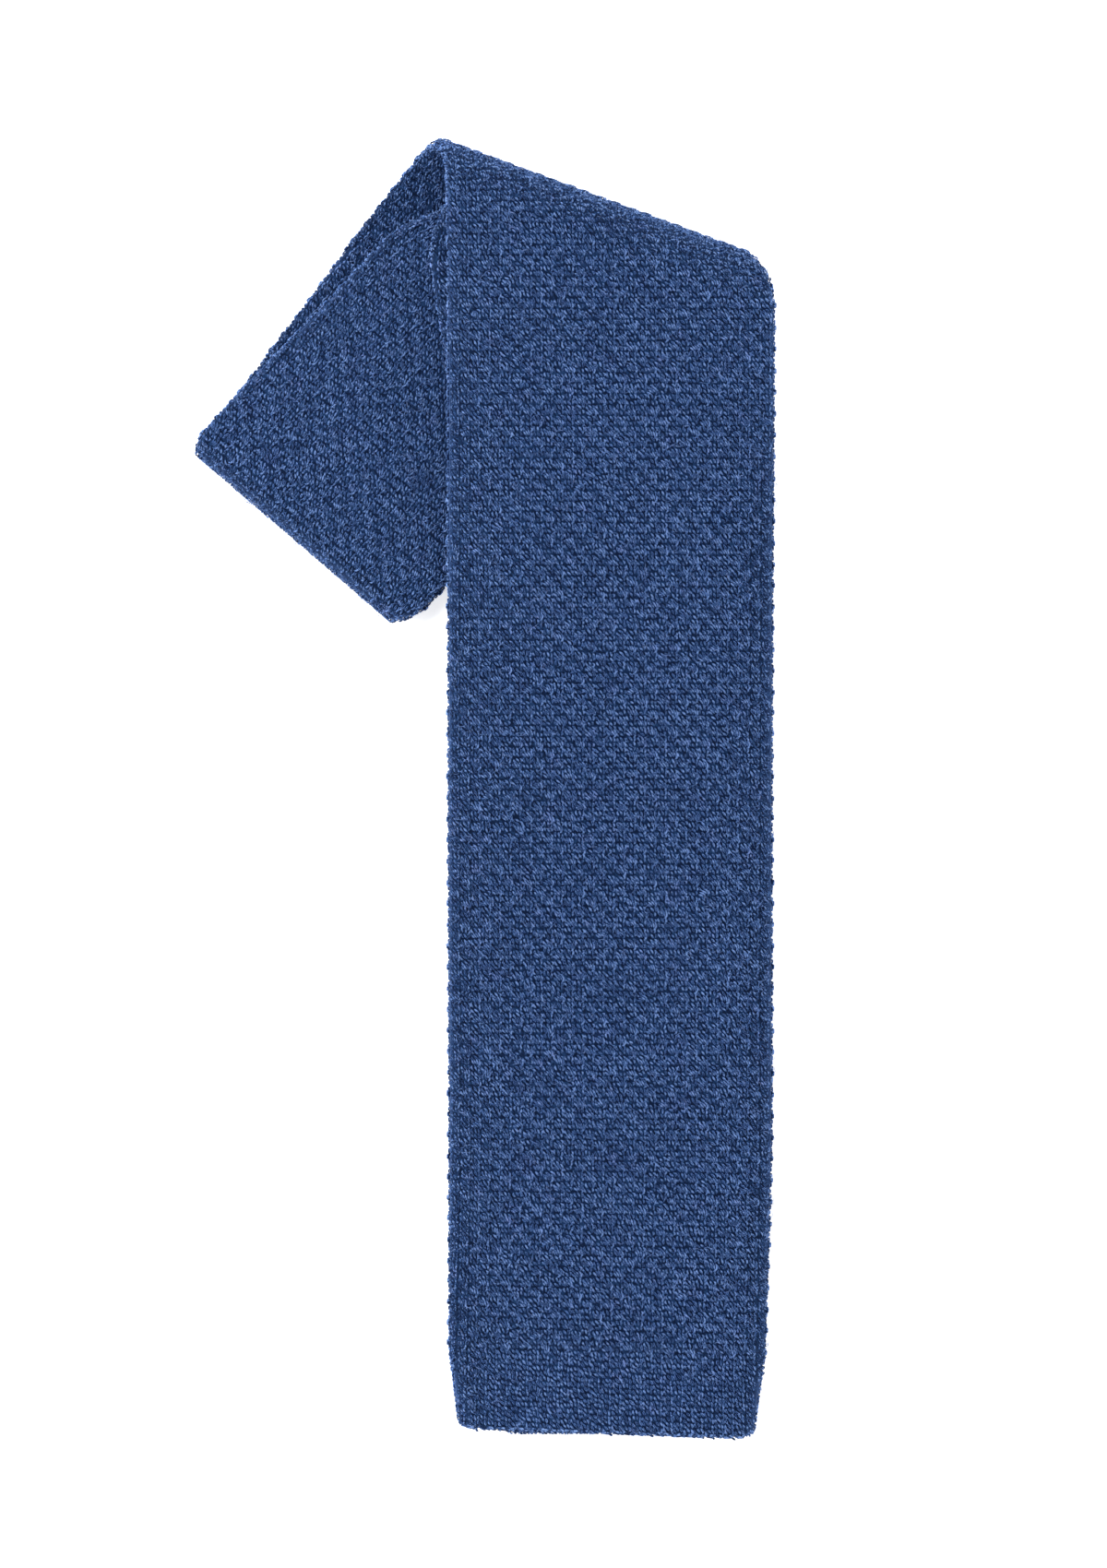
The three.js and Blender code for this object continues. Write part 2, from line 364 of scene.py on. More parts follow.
# Unevenness of the knit
PLACE_JITTER = 0.09 * MM
TURN_JITTER = 0.17
SIZE_SPREAD = 0.08
FIBRE_SPREAD = 0.4

# Fabric: the tube's own wall, under the raised stitches
FABRIC_STEP = 2.6 * MM
TIGHT_STEP = 0.6 * MM
TIGHT_RADIUS = 2 * MM
FLAT_POINTS = 13
EDGE_POINTS = 3
FABRIC_DEPTH = 0.06 * MM


def fabric_lines(start, end):
    """Measures along the tie, closer together where it turns round a small fold."""
    stops = [start]
    while stops[-1] < end:
        step = FABRIC_STEP
        for fold, (before, after) in zip(FOLDS, PLACES):
            reach = BLADE_WIDTH / 2 * math.tan(FOLD_SLANT)
            if fold["radius"] < TIGHT_RADIUS and before - reach < stops[-1] + step < after + reach + step:
                step = TIGHT_STEP
        stops.append(stops[-1] + step)
    stops = [stop for stop in stops[1:-1] if start + TIGHT_STEP / 2 < stop < end - TIGHT_STEP / 2]
    rounding = [stop for stop in [*END_STOPS, *(TIE_LENGTH - END_STOPS)] if start < stop < end]
    return np.array(sorted([start, *stops, *rounding, end]))


def ring_sides(half, edge):
    """Side and height share of each point of a section, as arrays of one row for each measure."""
    flat = half - edge
    turn = np.linspace(0, math.pi, EDGE_POINTS + 2)[1:-1]
    over = np.linspace(-1, 1, FLAT_POINTS)
    shares = np.concatenate([over, np.ones(EDGE_POINTS), over[::-1], -np.ones(EDGE_POINTS)])
    bulge = np.concatenate([np.zeros(FLAT_POINTS), np.sin(turn), np.zeros(FLAT_POINTS), -np.sin(turn)])
    height = np.concatenate([np.ones(FLAT_POINTS), np.cos(turn), -np.ones(FLAT_POINTS), -np.cos(turn)])
    return flat[:, None] * shares[None, :] + edge[:, None] * bulge[None, :], height[None, :]


def make_fabric(name, start, end, material):
    """A length of the hollow tube, open at both ends, that stands for one solid of the frame."""
    along = fabric_lines(start, end)
    half = width_and_shift(along)[0] / 2
    thick = half_thickness(along) - FABRIC_DEPTH
    outer_side, height = ring_sides(half - FABRIC_DEPTH, thick)
    outer = place(along[:, None], outer_side, height * thick[:, None])
    hollow = np.minimum(THICKNESS / 2 - WALL, thick - FABRIC_DEPTH)
    inner_side, height = ring_sides(half - SIDE_WALL, hollow)
    inner = place(along[:, None], inner_side, height * hollow[:, None])
    count = outer.shape[1]
    rows = len(along)
    points = np.concatenate([outer.reshape(-1, 3), inner.reshape(-1, 3)])
    row, col = np.meshgrid(np.arange(rows - 1), np.arange(count), indexing="ij")
    here = (row * count + col).ravel()
    beside = (row * count + (col + 1) % count).ravel()
    skin = np.stack([here, beside, beside + count, here + count], axis=1)
    lining = skin[:, ::-1] + rows * count
    ring = np.arange(count)
    following = (ring + 1) % count
    under = rows * count
    first = np.stack([following, ring, ring + under, following + under], axis=1)
    last_row = (rows - 1) * count
    last = np.stack([ring, following, following + under, ring + under], axis=1) + last_row
    obj = make_object(name, points, np.concatenate([skin, lining, first, last]))
    obj.data.materials.append(material)
    return obj


# Stitches: each has a few legs of yarn, which lean as the yarn does in the knit. A leg is a radius
# and points (across, along, out) in millimetres from the middle of the stitch's own column and row,
# and it is pointed where it goes under its neighbours.
STITCHES = {
    "wide": [
        (0.19, [(-1.02, 0.54, -0.1), (-0.84, 0.30, 0.18), (-0.56, -0.02, 0.24), (-0.26, -0.40, -0.1)]),
        (0.18, [(-0.58, 0.78, -0.1), (-0.34, 0.46, 0.28), (-0.10, 0.06, 0.34), (0.14, -0.38, 0.0)]),
        (0.18, [(-0.10, 0.88, -0.1), (0.14, 0.50, 0.30), (0.38, 0.06, 0.34), (0.54, -0.40, 0.0)]),
        (0.19, [(0.38, 0.90, -0.1), (0.74, 0.44, 0.24), (0.86, -0.06, 0.30), (0.68, -0.56, 0.18),
                (0.24, -0.86, -0.1)]),
    ],
    "short": [
        (0.21, [(-0.90, 0.40, -0.15), (-0.95, 0.06, 0.10), (-0.71, -0.26, 0.10), (-0.37, -0.52, -0.15)]),
        (0.20, [(-0.44, 0.56, -0.15), (-0.20, 0.24, 0.14), (0.06, -0.08, 0.14), (0.30, -0.38, -0.15)]),
        (0.21, [(0.34, 0.50, -0.15), (0.74, 0.18, 0.12), (0.80, -0.16, 0.12), (0.54, -0.54, -0.15)]),
    ],
    "faint": [
        (0.20, [(-0.90, 0.58, -0.2), (-0.98, 0.24, 0.02), (-0.80, -0.10, 0.02), (-0.48, -0.40, -0.2)]),
        (0.20, [(-0.46, 0.42, -0.2), (-0.22, 0.10, 0.04), (0.06, -0.22, 0.04), (0.32, -0.54, -0.2)]),
        (0.20, [(0.30, 0.62, -0.2), (0.66, 0.28, 0.03), (0.70, -0.04, 0.03), (0.44, -0.40, -0.2)]),
    ],
    "long": [
        (0.21, [(-0.86, 0.56, -0.2), (-0.96, 0.16, 0.08), (-0.74, -0.26, 0.08), (-0.40, -0.62, -0.2)]),
        (0.21, [(-0.40, 0.66, -0.2), (-0.18, 0.28, 0.12), (0.06, -0.10, 0.12), (0.28, -0.50, -0.2)]),
        (0.21, [(0.42, 0.60, -0.2), (0.72, 0.18, 0.10), (0.74, -0.26, 0.10), (0.50, -0.66, -0.2)]),
    ],
    "plain": [
        (0.24, [(-0.84, 0.50, -0.2), (-0.92, 0.14, 0.08), (-0.72, -0.24, 0.08), (-0.34, -0.60, -0.2)]),
        (0.22, [(-0.46, 0.70, -0.2), (-0.22, 0.36, 0.04), (0.04, 0.00, 0.04), (0.26, -0.36, -0.2)]),
        (0.24, [(0.34, 0.56, -0.2), (0.60, 0.18, 0.10), (0.72, -0.24, 0.10), (0.70, -0.66, -0.2)]),
    ],
    "under": [
        (0.30, [(-0.92, 0.52, -0.2), (-0.66, 0.20, 0.12), (-0.34, -0.18, 0.12), (-0.06, -0.54, -0.2)]),
        (0.30, [(0.20, 0.56, -0.2), (0.50, 0.22, 0.14), (0.62, -0.18, 0.14), (0.52, -0.58, -0.2)]),
    ],
    "bind": [
        (0.32, [(-1.25, -0.08, -0.15), (-0.5, 0.06, 0.12), (0.4, -0.06, 0.12), (1.25, 0.1, -0.15)]),
        (0.28, [(-1.15, 0.42, -0.15), (-0.4, 0.36, 0.06), (0.5, 0.44, 0.06), (1.2, 0.36, -0.15)]),
    ],
    "edge": [
        (0.40, [(-0.8, 0.8, -0.2), (-0.35, 0.35, 0.16), (0.25, -0.25, 0.18), (0.7, -0.75, -0.2)]),
        (0.38, [(0.7, 0.8, -0.2), (0.35, 0.3, 0.14), (-0.25, -0.3, 0.16), (-0.7, -0.8, -0.2)]),
    ],
}
# Under the tie, where its stitches face down more steeply than this, they are simpler
UNDERSIDE = -0.5
END_INSET = 0.1 * MM
ROW_KINDS = ("wide", "short", "faint", "long")
LEG_SIDES = 3

# Loose fibres that stand off the yarn, given as the stitches' legs are
FIBRES = {
    "straight": [(0.035, [(-0.1, -0.75, 0.1), (0.0, -0.25, 0.55), (0.05, 0.25, 0.62), (0.0, 0.75, 0.2)])],
    "bent": [(0.04, [(-0.7, -0.5, 0.1), (-0.4, 0.1, 0.5), (0.1, 0.35, 0.62), (0.7, 0.2, 0.3)])],
    "hooked": [(0.035, [(0.5, -0.8, 0.1), (0.55, 0.2, 0.6), (-0.1, 0.7, 0.7), (-0.6, 0.3, 0.45)])],
}
FIBRE_SIDES = 3
FIBRE_DENSITY = 2.0e5
WIDTH_SAMPLES = 20

# Room that a row of stitches leaves to the middle of the tube's edge
EDGE_ROOM = 0.75 * COLUMN


def leg_arrays(radius, points, sides):
    """Points, faces and UV corners of one closed length of yarn with pointed ends."""
    centre = np.array(points) * MM
    ahead = np.gradient(centre, axis=0)
    ahead /= np.linalg.norm(ahead, axis=1)[:, None]
    side = np.cross(ahead, [0.0, 0.0, 1.0])
    side /= np.linalg.norm(side, axis=1)[:, None]
    up = np.cross(side, ahead)
    turn = math.pi / 2 + 2 * math.pi * np.arange(sides) / sides
    spokes = np.cos(turn)[None, :, None] * side[:, None] + np.sin(turn)[None, :, None] * up[:, None]
    rings = centre[1:-1, None] + radius * MM * spokes[1:-1]
    inner = len(points) - 2
    verts = np.concatenate([rings.reshape(-1, 3), centre[:1], centre[-1:]])
    first, last = inner * sides, inner * sides + 1
    faces, corners = [], []
    for j in range(sides):
        k = (j + 1) % sides
        v0, v1 = j / sides, (j + 1) / sides
        faces.append((first, j, k))
        corners += [(0, v0), (1 / (inner + 1), v0), (1 / (inner + 1), v1)]
        for i in range(inner - 1):
            here, there = i * sides, (i + 1) * sides
            u0, u1 = (i + 1) / (inner + 1), (i + 2) / (inner + 1)
            faces.append((here + j, there + j, there + k, here + k))
            corners += [(u0, v0), (u1, v0), (u1, v1), (u0, v1)]
        end = (inner - 1) * sides
        faces.append((last, end + k, end + j))
        corners += [(1, v1), (inner / (inner + 1), v1), (inner / (inner + 1), v0)]
    return verts, faces, corners


def make_strands(name, legs, sides):
    """The mesh that is set on the fabric for one kind of stitch or fibre."""
    points, faces, corners, numbers = [], [], [], []
    for number, (radius, path) in enumerate(legs):
        p, f, c = leg_arrays(radius, path, sides)
        before = sum(len(q) for q in points)
        faces += [tuple(v + before for v in face) for face in f]
        points.append(p)
        corners += c
        numbers += [float(number)] * len(p)
    obj = make_object(name, np.concatenate(points), faces, corners)
    leg = obj.data.attributes.new("leg", "FLOAT", "POINT")
    leg.data.foreach_set("value", np.array(numbers, np.float32))
    height = obj.data.attributes.new("height", "FLOAT", "POINT")
    height.data.foreach_set("value", np.concatenate(points)[:, 2].astype(np.float32) / MM)
    return obj


def edge_measure(along):
    """The perimeter measure from the face's middle to the middle of the tube's edge."""
    return width_and_shift(along)[0] / 2 - THICKNESS / 2 + math.pi * THICKNESS / 4


def stitch_places(start, end, plain=False):
    """Every stitch from one measure along the tie up to another: along, round the tube, and kind."""
    along, q, kind = [], [], []
    names = list(STITCHES)
    for row in range(math.ceil(start / ROW), math.ceil(end / ROW)):
        edge = float(edge_measure(np.array([row * ROW]))[0])
        columns = int((edge - EDGE_ROOM) / COLUMN + 0.5)
        spots = [(i, i * COLUMN) for i in range(-columns, columns + 1)]
        spots += [(columns + 1, edge), (-columns - 1, -edge)]
        spots += [(i + 1, math.copysign(2 * edge - abs(c), c)) for i, c in spots if i and abs(c) < edge]
        spots.append((0, 2 * edge))
        for i, c in spots:
            name = "plain" if plain else ROW_KINDS[(row + 2 * (i % 2)) % REPEAT]
            if name == "wide" and abs(c) == edge:
                name = "edge"
            if plain and row in (0, math.floor(TIE_LENGTH / ROW)) and abs(abs(c) - edge) > COLUMN / 2:
                name = "bind"
            along.append(np.clip(row * ROW, END_INSET, TIE_LENGTH - END_INSET))
            q.append(c)
            kind.append(names.index(name))
    return np.array(along), np.array(q), np.array(kind)


def fibre_places(start, end, seed):
    """Random places for loose fibres, as dense all over the tube's outside."""
    rng = np.random.default_rng(seed)
    reach = 2 * float(edge_measure(np.linspace(start, end, WIDTH_SAMPLES)).max())
    count = int(FIBRE_DENSITY * (end - start) * 2 * reach)
    along = rng.uniform(start, end, count)
    q = rng.uniform(-1, 1, count) * 2 * edge_measure(along)
    return along, q, rng.integers(0, len(FIBRES), count)


def surface_frames(along, q):
    """Place on the tube, and the directions to the right of, along and out of it there."""
    step = 0.2 * MM
    here = around(along, q)
    ahead = around(along + step, q) - around(along - step, q)
    ahead /= np.linalg.norm(ahead, axis=1)[:, None]
    across = around(along, q + step) - around(along, q - step)
    out = np.cross(across, ahead)
    out /= np.linalg.norm(out, axis=1)[:, None]
    right = np.cross(ahead, out)
    return here, right, ahead, out


# A stitch shows where a ray from just above it gets away from the tie, straight out or aslant
RAY_START = 0.3 * MM
RAY_LENGTH = 0.4
RAY_SLANT = 2.5


def fabric_tree(pieces):
    """A search tree over the fabric, to find what it hides."""
    points, faces = [], []
    for piece in pieces:
        before = len(points)
        points += [v.co.copy() for v in piece.data.vertices]
        faces += [tuple(v + before for v in p.vertices) for p in piece.data.polygons]
    return BVHTree.FromPolygons(points, faces)


def shows(tree, frames):
    """Which of the places on the tube are bare."""
    here, right, ahead, out = frames
    start = here + out * RAY_START
    bare = np.zeros(len(here), bool)
    for x, y in ((0, 0), (1, 0), (-1, 0), (0, 1), (0, -1)):
        ways = out + RAY_SLANT * (x * right + y * ahead)
        for i in np.flatnonzero(~bare):
            bare[i] = tree.ray_cast(start[i], ways[i], RAY_LENGTH)[0] is None
    return bare


def stitch_tree(name, sources, material):
    """Nodes that set one stitch on each point, by its kind, and give each its own tone."""
    tree = bpy.data.node_groups.new(name, "GeometryNodeTree")
    face = tree.interface
    face.new_socket("Points", in_out="INPUT", socket_type="NodeSocketGeometry")
    size = face.new_socket("Yarn size", in_out="INPUT", socket_type="NodeSocketFloat")
    spread = face.new_socket("Size spread", in_out="INPUT", socket_type="NodeSocketFloat")
    seed = face.new_socket("Seed", in_out="INPUT", socket_type="NodeSocketInt")
    face.new_socket("Stitches", in_out="OUTPUT", socket_type="NodeSocketGeometry")
    nodes, links = tree.nodes, tree.links
    enter = nodes.new("NodeGroupInput")
    leave = nodes.new("NodeGroupOutput")
    kind = nodes.new("GeometryNodeInputNamedAttribute")
    kind.data_type = "INT"
    kind.inputs["Name"].default_value = "kind"
    turn = nodes.new("GeometryNodeInputNamedAttribute")
    turn.data_type = "QUATERNION"
    turn.inputs["Name"].default_value = "turn"
    low = nodes.new("ShaderNodeMath")
    low.operation = "SUBTRACT"
    high = nodes.new("ShaderNodeMath")
    high.operation = "ADD"
    for math_node in (low, high):
        links.new(enter.outputs["Yarn size"], math_node.inputs[0])
        links.new(enter.outputs["Size spread"], math_node.inputs[1])
    scale = nodes.new("FunctionNodeRandomValue")
    links.new(low.outputs[0], scale.inputs[2])
    links.new(high.outputs[0], scale.inputs[3])
    links.new(enter.outputs["Seed"], scale.inputs["Seed"])
    join = nodes.new("GeometryNodeJoinGeometry")
    for index, source in enumerate(sources):
        same = nodes.new("FunctionNodeCompare")
        same.data_type = "INT"
        same.operation = "EQUAL"
        links.new(kind.outputs["Attribute"], same.inputs[2])
        same.inputs[3].default_value = index
        shape = nodes.new("GeometryNodeObjectInfo")
        shape.inputs["Object"].default_value = source
        setter = nodes.new("GeometryNodeInstanceOnPoints")
        links.new(enter.outputs["Points"], setter.inputs["Points"])
        links.new(same.outputs["Result"], setter.inputs["Selection"])
        links.new(shape.outputs["Geometry"], setter.inputs["Instance"])
        links.new(turn.outputs["Attribute"], setter.inputs["Rotation"])
        links.new(scale.outputs[1], setter.inputs["Scale"])
        links.new(setter.outputs["Instances"], join.inputs["Geometry"])
    tone = nodes.new("FunctionNodeRandomValue")
    links.new(enter.outputs["Seed"], tone.inputs["Seed"])
    keep = nodes.new("GeometryNodeStoreNamedAttribute")
    keep.data_type = "FLOAT"
    keep.domain = "INSTANCE"
    keep.inputs["Name"].default_value = "tone"
    links.new(join.outputs["Geometry"], keep.inputs["Geometry"])
    links.new(tone.outputs[1], keep.inputs["Value"])
    realize = nodes.new("GeometryNodeRealizeInstances")
    links.new(keep.outputs["Geometry"], realize.inputs["Geometry"])
    finish = nodes.new("GeometryNodeSetMaterial")
    finish.inputs["Material"].default_value = material
    links.new(realize.outputs["Geometry"], finish.inputs["Geometry"])
    links.new(finish.outputs["Geometry"], leave.inputs["Stitches"])
    return tree, {"size": size.identifier, "spread": spread.identifier, "seed": seed.identifier}


def knit_piece(name, frames, kind, tree, sockets, seed, spread, turned):
    """One piece of stitches or fibres, realized from the tree as a plain mesh."""
    here, right, ahead, out = frames
    rng = np.random.default_rng(seed)
    jitter = rng.normal(0, PLACE_JITTER, (2, len(here)))
    here = here + jitter[0, :, None] * right + jitter[1, :, None] * ahead
    angle = rng.uniform(-math.pi, math.pi, len(here)) if turned else rng.normal(0, TURN_JITTER, len(here))
    cos, sin = np.cos(angle)[:, None], np.sin(angle)[:, None]
    right, ahead = right * cos + ahead * sin, ahead * cos - right * sin
    turns = [Matrix(rows).transposed().to_quaternion()[:] for rows in zip(right, ahead, out)]
    mesh = bpy.data.meshes.new(name + "_places")
    mesh.from_pydata([tuple(p) for p in here], [], [])
    kinds = mesh.attributes.new("kind", "INT", "POINT")
    kinds.data.foreach_set("value", kind.astype(np.int32))
    turn = mesh.attributes.new("turn", "QUATERNION", "POINT")
    turn.data.foreach_set("value", np.array(turns, np.float32).ravel())
    carrier = bpy.data.objects.new(name + "_places", mesh)
    bpy.context.scene.collection.objects.link(carrier)
    modifier = carrier.modifiers.new("stitches", "NODES")
    modifier.node_group = tree
    modifier[sockets["size"]] = 1.0
    modifier[sockets["spread"]] = spread
    modifier[sockets["seed"]] = seed
    bpy.context.view_layer.update()
    graph = bpy.context.evaluated_depsgraph_get()
    result = bpy.data.meshes.new_from_object(carrier.evaluated_get(graph), preserve_all_data_layers=True,
                                             depsgraph=graph)
    result.name = name
    carrier.modifiers.clear()
    bpy.data.objects.remove(carrier)
    obj = bpy.data.objects.new(name, result)
    bpy.context.scene.collection.objects.link(obj)
    obj.data.polygons.foreach_set("use_smooth", [True] * len(obj.data.polygons))
    return obj


class Nodes:
    """Short ways to add the nodes that the wool materials share."""

    def __init__(self, material):
        self.tree = material.node_tree

    def add(self, kind, settings=(), inputs=()):
        node = self.tree.nodes.new(kind)
        for name, value in settings:
            setattr(node, name, value)
        for name, value in inputs:
            if isinstance(value, bpy.types.NodeSocket):
                self.tree.links.new(value, node.inputs[name])
            else:
                node.inputs[name].default_value = value
        return node

    def calculate(self, operation, *values):
        return self.add("ShaderNodeMath", [("operation", operation)], list(enumerate(values))).outputs[0]

    def noise(self, vector, scale, detail, roughness=0.5):
        inputs = [("Vector", vector), ("Scale", scale), ("Detail", detail), ("Roughness", roughness)]
        return self.add("ShaderNodeTexNoise", [], inputs).outputs["Fac"]

    def span(self, value, limits):
        inputs = [("Value", value), ("From Min", limits[0]), ("From Max", limits[1])]
        return self.add("ShaderNodeMapRange", [], inputs).outputs["Result"]


def wool(name, stops, yarn, bump):
    """Melange wool: light and dark fibres, each leg of yarn with a tone of its own, and yarn darker the
    lower it lies, as painted shade between the stitches.

    The stops are the blues from the deepest fibres to the lightest, each with its place. Where yarn is
    true, the pieces carry a UV map and attributes for each leg.
    """
    material = bpy.data.materials.new(name)
    material.use_nodes = True
    shader = material.node_tree.nodes["Principled BSDF"]
    nodes = Nodes(material)
    point = nodes.add("ShaderNodeTexCoord").outputs["Object"]
    fine = nodes.noise(point, FIBRE_SCALE, detail=3, roughness=0.7)
    patches = nodes.noise(point, PATCH_SCALE, detail=2)
    slanted = nodes.add("ShaderNodeMapping", [("vector_type", "TEXTURE")], [("Vector", point)])
    slanted.inputs["Rotation"].default_value = (0, 0, HAIR_SLANT)
    slanted.inputs["Scale"].default_value = HAIR_STRETCH
    hairs = nodes.add("ShaderNodeTexVoronoi", [],
                      [("Vector", slanted.outputs["Vector"]), ("Scale", HAIR_SCALE)])
    hair_tone = nodes.add("ShaderNodeSeparateColor", [], [("Color", hairs.outputs["Color"])]).outputs["Red"]
    amount = nodes.calculate("MULTIPLY_ADD", fine, FINE_WEIGHT,
                             nodes.calculate("MULTIPLY", patches, PATCH_WEIGHT))
    amount = nodes.calculate("MULTIPLY_ADD", hair_tone, HAIR_WEIGHT, amount)
    if yarn:
        tone = nodes.add("ShaderNodeAttribute", [("attribute_name", "tone")]).outputs["Fac"]
        leg = nodes.add("ShaderNodeAttribute", [("attribute_name", "leg")]).outputs["Fac"]
        number = nodes.calculate("MULTIPLY_ADD", tone, TONE_STEP, leg)
        own = nodes.add("ShaderNodeTexWhiteNoise", [("noise_dimensions", "1D")], [("W", number)])
        amount = nodes.calculate("MULTIPLY_ADD", own.outputs["Value"], LEG_WEIGHT, amount)
        yarn_map = nodes.add("ShaderNodeUVMap", [("uv_map", "yarn")]).outputs["UV"]
        twist = nodes.add("ShaderNodeMapping", [], [("Vector", yarn_map)])
        twist.inputs["Scale"].default_value = TWIST_STRETCH
        twist.inputs["Rotation"].default_value = (0, 0, TWIST_TURN)
        step = nodes.calculate("MULTIPLY", number, TWIST_STEP)
        moved = nodes.add("ShaderNodeCombineXYZ", [], [("Z", step)])
        along = nodes.add("ShaderNodeVectorMath", [("operation", "ADD")],
                          [(0, twist.outputs["Vector"]), (1, moved.outputs["Vector"])])
        fibres = nodes.noise(along.outputs["Vector"], TWIST_SCALE, detail=2, roughness=0.6)
        amount = nodes.calculate("MULTIPLY_ADD", fibres, TWIST_WEIGHT, amount)
        # Painted shade: the yarn is darker the lower it lies off the wall, lighter where it stands high
        height = nodes.add("ShaderNodeAttribute", [("attribute_name", "height")]).outputs["Fac"]
        amount = nodes.calculate("MULTIPLY_ADD", height, LOW_YARN_SHADE_WEIGHT, amount)
    span = nodes.span(amount, YARN_RANGE if yarn else CLOTH_RANGE)
    colours = nodes.add("ShaderNodeValToRGB", [], [("Fac", span)])
    elements = colours.color_ramp.elements
    while len(elements) < len(stops):
        elements.new(0.5)
    for element, (position, colour) in zip(elements, stops):
        element.position = position
        element.color = (*colour, 1)
    violet = nodes.noise(point, VIOLET_SCALE, detail=2)
    share = nodes.calculate("MULTIPLY", nodes.span(violet, VIOLET_RANGE), VIOLET_SHARE)
    tinted = nodes.add("ShaderNodeMix", [("data_type", "RGBA"), ("blend_type", "MULTIPLY")],
                       [("Factor", share), ("A", colours.outputs["Color"]), ("B", VIOLET)])
    nodes.tree.links.new(tinted.outputs["Result"], shader.inputs["Base Color"])
    shader.inputs["Roughness"].default_value = WOOL_ROUGHNESS
    shader.inputs["Specular IOR Level"].default_value = WOOL_GLOSS
    shader.inputs["Sheen Weight"].default_value = SHEEN
    shader.inputs["Sheen Roughness"].default_value = SHEEN_ROUGHNESS
    shader.inputs["Sheen Tint"].default_value = SHEEN_TINT
    relief = nodes.add("ShaderNodeBump", [],
                       [("Strength", bump), ("Distance", RELIEF_DEPTH), ("Height", fine)])
    nodes.tree.links.new(relief.outputs["Normal"], shader.inputs["Normal"])
    return material


def plain_material(name, colour, roughness):
    material = bpy.data.materials.new(name)
    material.use_nodes = True
    shader = material.node_tree.nodes["Principled BSDF"]
    shader.inputs["Base Color"].default_value = (*colour, 1)
    shader.inputs["Roughness"].default_value = roughness
    return material


def to_frame(obj):
    """Moves a piece's points from the folded tie's own plan to the frame's origin."""
    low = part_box("neckband")[0]
    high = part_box("blade")[1]
    points = np.empty(len(obj.data.vertices) * 3, np.float32)
    obj.data.vertices.foreach_get("co", points)
    points = points.reshape(-1, 3)
    height = points[:, 2]
    points[:, 2] = np.where(height < PRESSED, np.maximum(height + PRESSED, 0) / 2, height)
    points += np.array([high.x - BLADE_WIDTH / 2, low.y + NECK_SHOWING, 0], np.float32)
    obj.data.vertices.foreach_set("co", points.ravel())
    obj.data.update()


# Camera: the size of a pixel of the photo at a height halfway up the tie, and places in the photo
PIXEL = 0.1857 * MM
PHOTO_CENTRE = (600, 850)
BLADE_MIDDLE_PIXEL = 662
BLADE_TIP_PIXEL = 1555
PHOTO_HEIGHT = 1700
CAMERA_HEIGHT = 1.2
SCALE_HEIGHT = 9 * MM
SENSOR = 36.0

# Floor and light
FLOOR_REACH = 3
PAPER = (0.93, 0.93, 0.93)
PAPER_ROUGHNESS = 0.9
PAPER_GLOW = 0.55
AMBIENT = 0.6

LIGHT_SIZE = 0.6

# Name, place and watts of each light, all of one size and aimed at the middle of the tie
LIGHTS = [
    ("overhead", (-0.35, 0.5, 1.3), 12.5),
    ("left", (-1, 0.1, 0.32), 10),
    ("right", (1, -0.1, 0.32), 5.5),
    ("far", (0.1, 1, 0.32), 6),
    ("near", (-0.1, -1, 0.32), 6),
]


def make_camera():
    blade_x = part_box("blade")[1].x - BLADE_WIDTH / 2
    tip_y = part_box("neckband")[0].y + NECK_SHOWING
    data = bpy.data.cameras.new("camera")
    data.sensor_fit = "VERTICAL"
    data.sensor_height = SENSOR
    data.lens = SENSOR * CAMERA_HEIGHT / (PHOTO_HEIGHT * PIXEL)
    camera = bpy.data.objects.new("camera", data)
    bpy.context.scene.collection.objects.link(camera)
    camera.location = (
        blade_x + (PHOTO_CENTRE[0] - BLADE_MIDDLE_PIXEL) * PIXEL,
        tip_y + (BLADE_TIP_PIXEL - PHOTO_CENTRE[1]) * PIXEL,
        CAMERA_HEIGHT + SCALE_HEIGHT,
    )
    bpy.context.scene.camera = camera


def make_light(name, place_at, watts):
    data = bpy.data.lights.new(name, "AREA")
    data.shape = "DISK"
    data.size = LIGHT_SIZE
    data.energy = watts
    light = bpy.data.objects.new(name, data)
    bpy.context.scene.collection.objects.link(light)
    light.location = place_at
    towards = -light.location
    light.rotation_euler = towards.to_track_quat("-Z", "Y").to_euler()


def make_studio():
    reach = FLOOR_REACH
    corners = [(-reach, -reach, 0), (reach, -reach, 0), (reach, reach, 0), (-reach, reach, 0)]
    floor = make_object("floor", corners, [(0, 1, 2, 3)])
    paper = plain_material("floor_paper", PAPER, PAPER_ROUGHNESS)
    shader = paper.node_tree.nodes["Principled BSDF"]
    shader.inputs["Emission Color"].default_value = (1, 1, 1, 1)
    shader.inputs["Emission Strength"].default_value = PAPER_GLOW
    floor.data.materials.append(paper)
    world = bpy.data.worlds.new("studio")
    bpy.context.scene.world = world
    world.use_nodes = True
    background = world.node_tree.nodes["Background"]
    background.inputs["Color"].default_value = (1, 1, 1, 1)
    background.inputs["Strength"].default_value = AMBIENT
    bpy.context.scene.view_settings.view_transform = "Standard"
    for name, place_at, watts in LIGHTS:
        make_light(name, place_at, watts)


make_camera()
make_studio()
